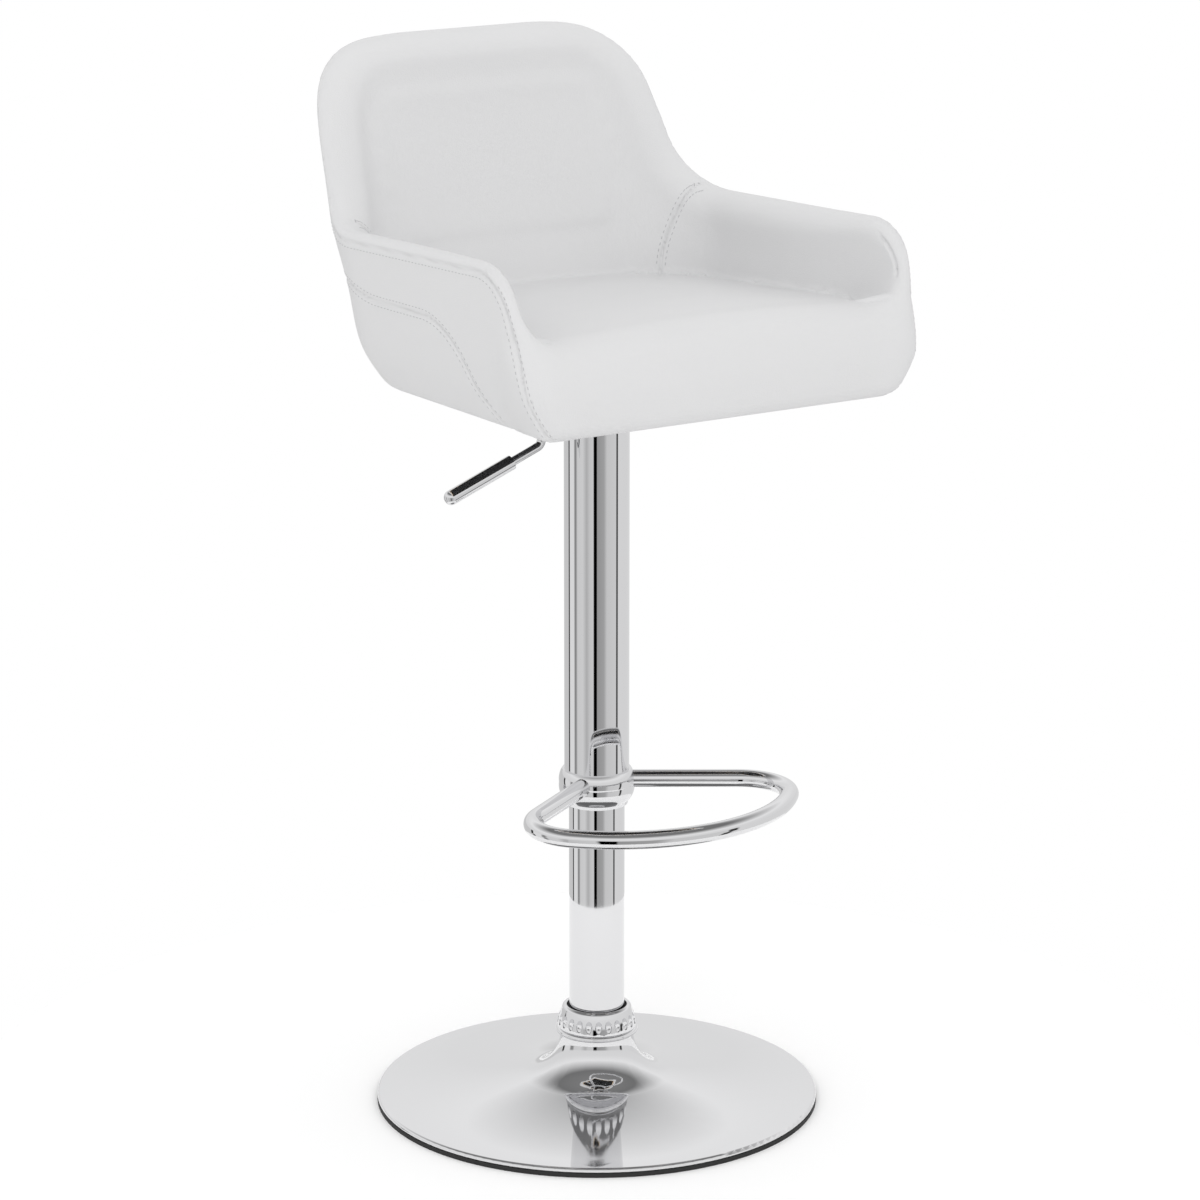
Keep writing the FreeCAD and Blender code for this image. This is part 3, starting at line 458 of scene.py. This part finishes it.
def swell():
    """How the padding swells its cover: a cloth held at the seams, blown up a little and read off."""
    start, faces = surface_nets(smooth_form, LOW, HIGH, SWELL_CELL)
    start = settle(smooth_form, start)
    balloon = add_mesh("swell", start, faces)
    held = balloon.vertex_groups.new(name="held")
    seam = np.minimum(seam_gaps(start), np.abs(rim_gap(round_wall(start), start[:, 2])))
    crease = np.abs(wall_field(start) - cushion_field(start))
    loose = ramp(np.minimum(np.minimum(seam, crease), start[:, 2] - FLOOR), HELD_WITHIN, FREE_BEYOND)
    for number, amount in enumerate(loose):
        held.add([number], float(1 - amount * 0.9), "REPLACE")
    cloth = balloon.modifiers.new("cloth", "CLOTH")
    cloth.settings.quality = 5
    cloth.settings.use_pressure = True
    cloth.settings.uniform_pressure_force = PRESSURE
    cloth.settings.effector_weights.gravity = 0
    cloth.settings.vertex_group_mass = "held"
    cloth.settings.pin_stiffness = 1.0
    cloth.settings.tension_stiffness = 15
    cloth.settings.compression_stiffness = 15
    cloth.settings.bending_stiffness = 0.5
    cloth.point_cache.frame_start = 1
    cloth.point_cache.frame_end = SIM_FRAMES
    for number in range(1, SIM_FRAMES + 1):
        bpy.context.scene.frame_set(number)
    blown = balloon.evaluated_get(bpy.context.evaluated_depsgraph_get()).data
    moved = np.empty(len(start) * 3)
    blown.vertices.foreach_get("co", moved)
    moved = moved.reshape(-1, 3) / MM - start
    bpy.data.objects.remove(balloon)
    bpy.context.scene.frame_set(1)
    far = np.maximum(np.linalg.norm(moved, axis=1), 1e-6)
    moved *= np.minimum(1, SWELL_LIMIT / far)[:, None]
    return start, moved


def carried(points, start, moved, reach=10.0):
    """The movement of each point, averaged from the cloth's points near it."""
    tree = KDTree(len(start))
    for number, place in enumerate(start):
        tree.insert(place, number)
    tree.balance()
    shift = np.zeros_like(points)
    for number, place in enumerate(points):
        near = tree.find_n(place, 8)
        weights = np.array([math.exp(-(gap / reach) ** 2 * 1.5) for _, _, gap in near]) + 1e-9
        shift[number] = weights @ moved[[index for _, index, _ in near]] / weights.sum()
    return shift


def refine(points, faces):
    """Split the faces beside the seams finely enough to hold a groove."""
    mesh = bmesh.new()
    verts = [mesh.verts.new(place) for place in points]
    for face in faces:
        mesh.faces.new([verts[k] for k in face])
    near = seam_gaps(points) < REFINED
    mesh.verts.index_update()
    edges = [e for e in mesh.edges if near[e.verts[0].index] and near[e.verts[1].index]]
    bmesh.ops.subdivide_edges(mesh, edges=edges, cuts=3, use_grid_fill=True)
    mesh.verts.index_update()
    points = np.array([v.co for v in mesh.verts])
    faces = [[v.index for v in f.verts] for f in mesh.faces]
    mesh.free()
    return points, faces


def closed_part(name, points, normals, faces, hub):
    """One sewn piece: its faces, closed behind by a cone to a point inside the padding."""
    used = sorted({k for face in faces for k in face})
    place = {k: n for n, k in enumerate(used)}
    local = [[place[k] for k in face] for face in faces]
    steps = set()
    for face in local:
        for a, b in zip(face, face[1:] + face[:1]):
            steps.add((a, b))
    border = [(a, b) for a, b in steps if (b, a) not in steps]
    shown = len(local)
    local += [[b, a, len(used)] for a, b in sorted(border)]
    piece = add_mesh(name, np.vstack([points[used], hub]), local)
    for face in piece.data.polygons:
        face.use_smooth = face.index < shown
    rows = np.vstack([normals[used], [0, 0, 1]])
    corner_normals = []
    for face in piece.data.polygons:
        flat = face.normal
        for k in face.vertices:
            corner_normals.append(tuple(rows[k]) if face.index < shown else tuple(flat))
    piece.data.normals_split_custom_set(corner_normals)
    piece.data.materials.append(LEATHER)
    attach(piece, "carriage")
    return piece


# the seat pad's faces start this far above the floor of the bucket
BORDER_HEIGHT = 12.0
points, quads = surface_nets(smooth_form, LOW, HIGH, CELL)
points = settle(smooth_form, points)
points, polys = refine(points, quads.tolist())
points = settle(smooth_form, points, 3)
middles = np.array([points[face].mean(axis=0) for face in polys])
on_seat = (cushion_field(middles) < wall_field(middles)) & (middles[:, 2] > FLOOR + BORDER_HEIGHT)
points = settle(seat_field, points, 2)
points = points + carried(points, *swell())
fused = add_mesh("fused", points, polys)
normals = np.empty(len(points) * 3)
fused.data.vertex_normals.foreach_get("vector", normals)
normals = normals.reshape(-1, 3)
bpy.data.objects.remove(fused)


def wall_point(t, z, outer):
    """The place on the wall's outer or inner face at a distance round the wall and a height."""
    width, back, corner = (float(v) for v in at_height(z))
    depth = 0.0 if outer else BACK_THICK
    start = SIDE_START - (back - corner)
    arc = (corner - HALF) * math.pi / 2
    if t > start:
        return (width - depth, back - corner - (t - start), z)
    if t > start - arc:
        turn = math.pi / 2 - (start - t) / (corner - HALF)
        out = corner - depth
        return (width - corner + out * math.sin(turn), back - corner + out * math.cos(turn), z)
    return (width - corner - (start - arc - t), back - depth, z)


def beside(line, offset):
    """The line moved sideways by an offset, in the wall's unrolled face."""
    run = np.gradient(line, axis=0)
    run /= np.linalg.norm(run, axis=1)[:, None]
    return line + np.stack([-run[:, 1], run[:, 0]], 1) * offset


STITCH_PITCH = 5.4
# half length, half width and height of one stitch
STITCH = (1.7, 0.42, 0.35)
# its cross-sections from end to end: place along it, width and height, as shares of those
STITCH_RINGS = [(-1.0, 0.35, -0.6), (-0.6, 1.0, 0.6), (0.6, 1.0, 0.6), (1.0, 0.35, -0.6)]
# outer stitches keep this far above the bucket's floor, and inner ones start at a height above the seat
HEM_CLEARANCE = 8.0
INNER_STITCH_FOOT = 738.0
# the lower row beside the rim's seam shows only on the arms' fronts, beyond this distance round the wall
ARM_FRONT = 505.0
# rows of stitches: line, distance from it, whether on the outer face, where they start round the wall
ROWS = [(RIM_LINE, -SEAM_INSET - 5.0, True, 0), (RIM_LINE, -SEAM_INSET + 5.0, True, ARM_FRONT),
        (SIDE_SEAM, 4.5, True, 0), (SIDE_SEAM, -4.5, True, 0),
        (INNER_SEAM, 5.0, False, 0), (INNER_SEAM, -5.0, False, 0)]


def stitch_places():
    """Where each stitch lies: its middle and the way it runs."""
    places = []
    for line, offset, outer, first in ROWS:
        row = beside(line, offset)
        steps = np.concatenate([[0], np.cumsum(np.linalg.norm(np.diff(row, axis=0), axis=1))])
        marks = np.arange(STITCH_PITCH / 2, steps[-1], STITCH_PITCH)
        along = np.stack([np.interp(marks, steps, row[:, 0]), np.interp(marks, steps, row[:, 1])], 1)
        ahead = np.stack([np.interp(marks + 1, steps, row[:, 0]), np.interp(marks + 1, steps, row[:, 1])], 1)
        for here, there in zip(along, ahead):
            foot = FLOOR + HEM_CLEARANCE if outer else INNER_STITCH_FOOT
            if here[0] < first or here[1] < foot:
                continue
            a = Vector(wall_point(here[0], here[1], outer))
            b = Vector(wall_point(there[0], there[1], outer))
            for side in (1, -1):
                place = Vector((a.x * side, a.y, a.z))
                run = Vector(((b.x - a.x) * side, b.y - a.y, b.z - a.z))
                places.append((place, run.normalized()))
    return places


def make_stitches(surface):
    """Short rounded threads that lie on the cover, their grey colour darkened with painted shade."""
    found = stitch_places()
    centres = np.array([tuple(place) for place, _ in found])
    centres = settle(smooth_form, centres, 6)
    points, faces = [], []
    length, half, high = STITCH
    for centre, (_, run) in zip(centres, found):
        hit, normal, _, gap = surface.find_nearest(Vector(centre))
        if hit is None or gap > 12:
            continue
        run = (run - normal * run.dot(normal)).normalized()
        side = normal.cross(run)
        first = len(points)
        for along, wide, tall in STITCH_RINGS:
            base = hit + run * (along * length)
            points.append(base + side * (wide * half) - normal * high)
            points.append(base + side * (wide * half * 0.5) + normal * (tall * high))
            points.append(base - side * (wide * half * 0.5) + normal * (tall * high))
            points.append(base - side * (wide * half) - normal * high)
        for ring in range(3):
            for k in range(4):
                a, b = first + ring * 4 + k, first + ring * 4 + (k + 1) % 4
                faces.append((a, b, b + 4, a + 4))
        last = first + 12
        faces.append((first + 3, first + 2, first + 1, first))
        faces.append((last, last + 1, last + 2, last + 3))
    piece = add_mesh("stitching", [tuple(p) for p in points], faces)
    for face in piece.data.polygons:
        face.use_smooth = True
    piece.data.materials.append(SHADE_DARKENED_THREAD)
    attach(piece, "carriage")


# the points inside the padding to which the two pieces close behind
SEAT_HUB = (0, -60, 700)
BUCKET_HUB = (0, -60, 692)
tree = BVHTree.FromPolygons([tuple(place) for place in points], polys)
make_stitches(tree)
seat_faces = [face for face, on in zip(polys, on_seat) if on]
bucket_faces = [face for face, on in zip(polys, on_seat) if not on]
seat_pad = closed_part("seat_pad", points, normals, seat_faces, SEAT_HUB)
bucket = closed_part("bucket_cover", points, normals, bucket_faces, BUCKET_HUB)
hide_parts("seat_cushion")
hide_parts("shell_cover")

# ---------------------------------------------------------------- floor, light and camera
TURN = math.radians(33.0)
LIFT = math.radians(14.714)
AIM = Vector((0, 0, 0.467))
CAMERA_DISTANCE = 3.901
FLOOR_RADIUS = 0.58


def from_camera(turn, distance, height):
    """A place round the stool: turn in degrees to the right of the camera's own direction."""
    angle = TURN - math.radians(turn)
    return Vector((-math.sin(angle) * distance, -math.cos(angle) * distance, height))


floor_mesh = bpy.data.meshes.new("floor")
disc = bmesh.new()
bmesh.ops.create_circle(disc, cap_ends=True, segments=128, radius=FLOOR_RADIUS)
disc.to_mesh(floor_mesh)
floor = bpy.data.objects.new("floor", floor_mesh)
bpy.context.scene.collection.objects.link(floor)
floor.data.materials.append(new_material("floor_paint", (0.98, 0.98, 0.98), 0.8, vary=0.0, rough_vary=0.0))
# a wider floor just below bounces light, and neither the camera nor the chrome sees it
ground = floor.copy()
ground.name = "far_floor"
ground.scale = (40, 40, 1)
ground.location.z = -0.0005
ground.visible_glossy = False
ground.visible_camera = False
bpy.context.scene.collection.objects.link(ground)


def add_light(name, place, size, power, aim=AIM):
    data = bpy.data.lights.new(name, "AREA")
    data.shape = "RECTANGLE"
    data.size, data.size_y = size
    data.energy = power
    lamp = bpy.data.objects.new(name, data)
    lamp.location = place
    lamp.rotation_euler = (place - aim).to_track_quat("Z", "Y").to_euler()
    bpy.context.scene.collection.objects.link(lamp)
    lamp.visible_glossy = False
    return lamp


add_light("key", from_camera(-2, 2.6, 1.9), (1.8, 1.8), 13)
add_light("top", Vector((0.3, 0.2, 2.8)), (2.0, 2.0), 6)

world = bpy.data.worlds.new("studio")
bpy.context.scene.world = world
world.use_nodes = True
nodes, links = world.node_tree.nodes, world.node_tree.links
background = nodes["Background"]
direction = nodes.new("ShaderNodeSeparateXYZ")
links.new(nodes.new("ShaderNodeTexCoord").outputs["Generated"], direction.inputs["Vector"])


def steps_ramp(value, stops):
    """Brightness by value: stops of place and grey."""
    node = nodes.new("ShaderNodeValToRGB")
    node.color_ramp.interpolation = "LINEAR"
    elements = node.color_ramp.elements
    while len(elements) < len(stops):
        elements.new(0.5)
    for element, (place, grey) in zip(elements, stops):
        element.position = place
        element.color = (grey, grey, grey, 1)
    links.new(value, node.inputs["Fac"])
    return node.outputs["Color"]


def world_math(kind, *values):
    node = nodes.new("ShaderNodeMath")
    node.operation = kind
    for socket, value in zip(node.inputs, values):
        if isinstance(value, (int, float)):
            socket.default_value = value
        else:
            links.new(value, socket)
    return node.outputs[0]


# what the chrome mirrors: pale walls that darken to a grey ceiling, and narrow dark stands below eye level
height = world_math("MULTIPLY_ADD", direction.outputs["Z"], 0.5, 0.5)
walls = steps_ramp(height, [(0.0, 0.86), (0.40, 0.88), (0.49, 0.88), (0.55, 0.84), (0.63, 0.86), (0.73, 0.97),
                            (0.82, 0.6), (0.90, 0.2), (1.0, 0.25)])
azimuth = world_math("ARCTAN2", direction.outputs["X"], world_math("MULTIPLY", direction.outputs["Y"], -1.0))
turned = world_math("ADD", azimuth, TURN)
wrapped = world_math("WRAP", turned, math.pi, -math.pi)
fraction = world_math("MULTIPLY_ADD", wrapped, 0.5 / math.pi, 0.5)
STRIPES = [(0.0, 0.75), (0.172, 0.8), (0.175, 0.03), (0.192, 0.03), (0.196, 1.0), (0.255, 1.0), (0.268, 0.34),
           (0.282, 0.34), (0.30, 0.85), (0.36, 0.88), (0.40, 0.6), (0.43, 0.78), (0.468, 0.84), (0.470, 0.0),
           (0.5, 0.0), (0.502, 0.42), (0.57, 0.5), (0.60, 0.8), (0.70, 0.85), (0.704, 0.05), (0.720, 0.05),
           (0.724, 0.95), (1.0, 0.9)]
stripes = steps_ramp(fraction, STRIPES)
below = steps_ramp(height, [(0.0, 1.0), (0.51, 1.0), (0.54, 0.0), (1.0, 0.0)])
striped = nodes.new("ShaderNodeMix")
striped.data_type = "RGBA"
striped.blend_type = "MULTIPLY"
links.new(below, striped.inputs["Factor"])
links.new(walls, striped.inputs["A"])
links.new(stripes, striped.inputs["B"])
path = nodes.new("ShaderNodeLightPath")
shown = nodes.new("ShaderNodeMix")
shown.data_type = "RGBA"
shown.inputs["A"].default_value = (1, 1, 1, 1)
links.new(path.outputs["Is Glossy Ray"], shown.inputs["Factor"])
links.new(striped.outputs["Result"], shown.inputs["B"])
links.new(shown.outputs["Result"], background.inputs["Color"])

camera_data = bpy.data.cameras.new("camera")
camera_data.lens = 132.04
camera_data.sensor_width = 36.0
camera_data.shift_x = 0.0027
camera_data.clip_end = 50
camera = bpy.data.objects.new("camera", camera_data)
bpy.context.scene.collection.objects.link(camera)
away = Vector((-math.sin(TURN) * math.cos(LIFT), -math.cos(TURN) * math.cos(LIFT), math.sin(LIFT)))
camera.location = AIM + away * CAMERA_DISTANCE
camera.rotation_euler = away.to_track_quat("Z", "Y").to_euler()
bpy.context.scene.camera = camera
bpy.context.scene.view_settings.view_transform = "Standard"
